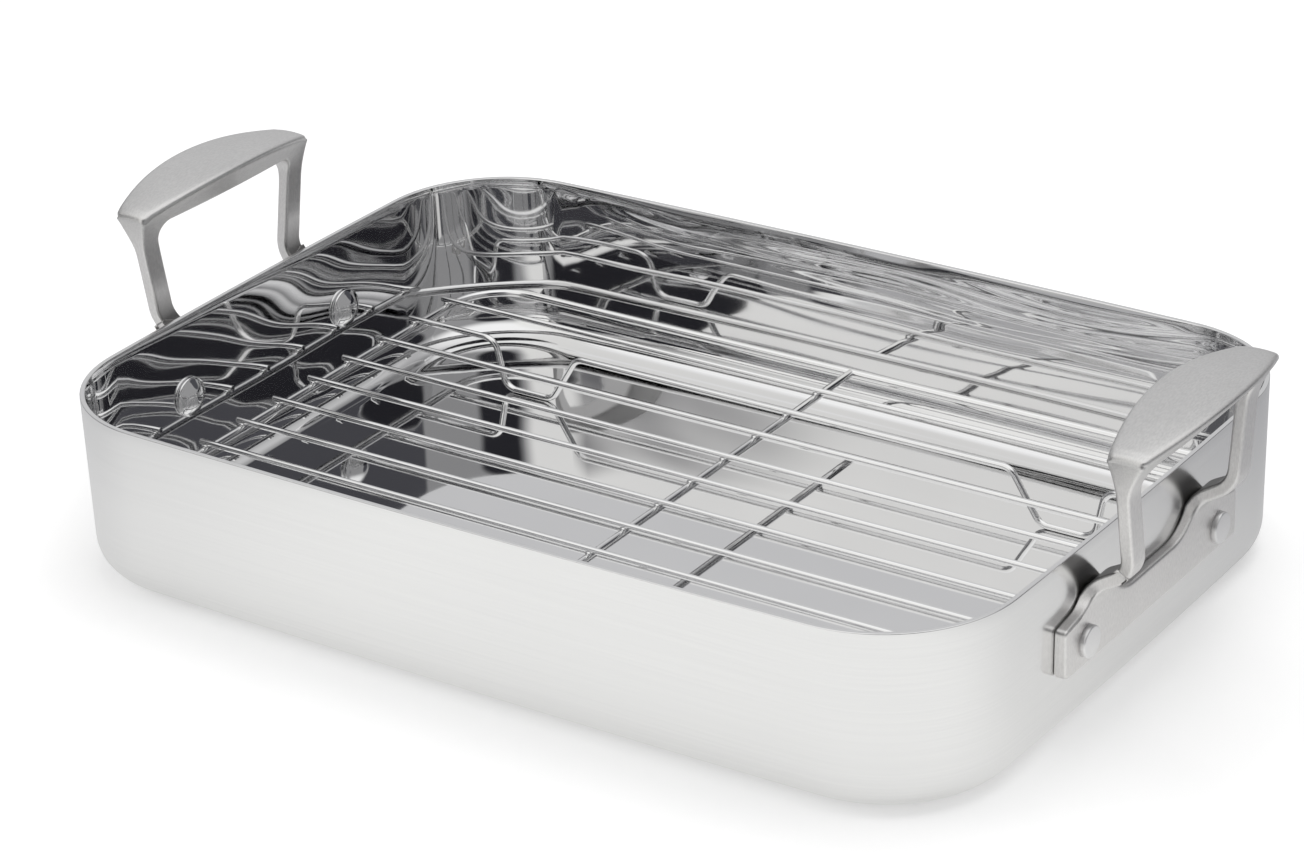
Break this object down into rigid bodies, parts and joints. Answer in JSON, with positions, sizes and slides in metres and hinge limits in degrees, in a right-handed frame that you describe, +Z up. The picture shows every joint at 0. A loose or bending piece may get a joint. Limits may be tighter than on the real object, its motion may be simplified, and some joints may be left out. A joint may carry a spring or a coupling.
{
  "type": "roasting pan with rack",
  "caption": "Rectangular steel roasting pan with riveted upright end handles and a flat lift-out wire rack that stands on bent feet.",
  "frame": {"origin": "middle of the pan's flat base, on the worktop", "axes": "+X along the pan's long side, +Y across it, +Z up"},
  "size_m": [0.4712, 0.286, 0.119],
  "materials": {
    "pan_steel": "polished inside, brushed outside",
    "cast_steel": "satin",
    "rivet_steel": "polished",
    "rack_wire": "bright"
  },
  "bodies": {
    "pan": {"pan_shell": "pan_steel", "left_handle": "cast_steel", "right_handle": "cast_steel", "left_rivets": "rivet_steel", "right_rivets": "rivet_steel"},
    "rack": {"rack_ring": "rack_wire", "rack_cross_wire": "rack_wire", "rack_wire_01": "rack_wire", "rack_leg_wire_02": "rack_wire", "rack_wire_03": "rack_wire", "rack_wire_04": "rack_wire", "rack_wire_05": "rack_wire", "rack_wire_06": "rack_wire", "rack_wire_07": "rack_wire", "rack_wire_08": "rack_wire", "rack_leg_wire_09": "rack_wire", "rack_wire_10": "rack_wire"}
  },
  "joints": [
    {"name": "rack_lift", "type": "slide", "parent": "pan", "child": "rack", "axis": [0, 0, 1], "range_m": [0, 0.1]}
  ]
}
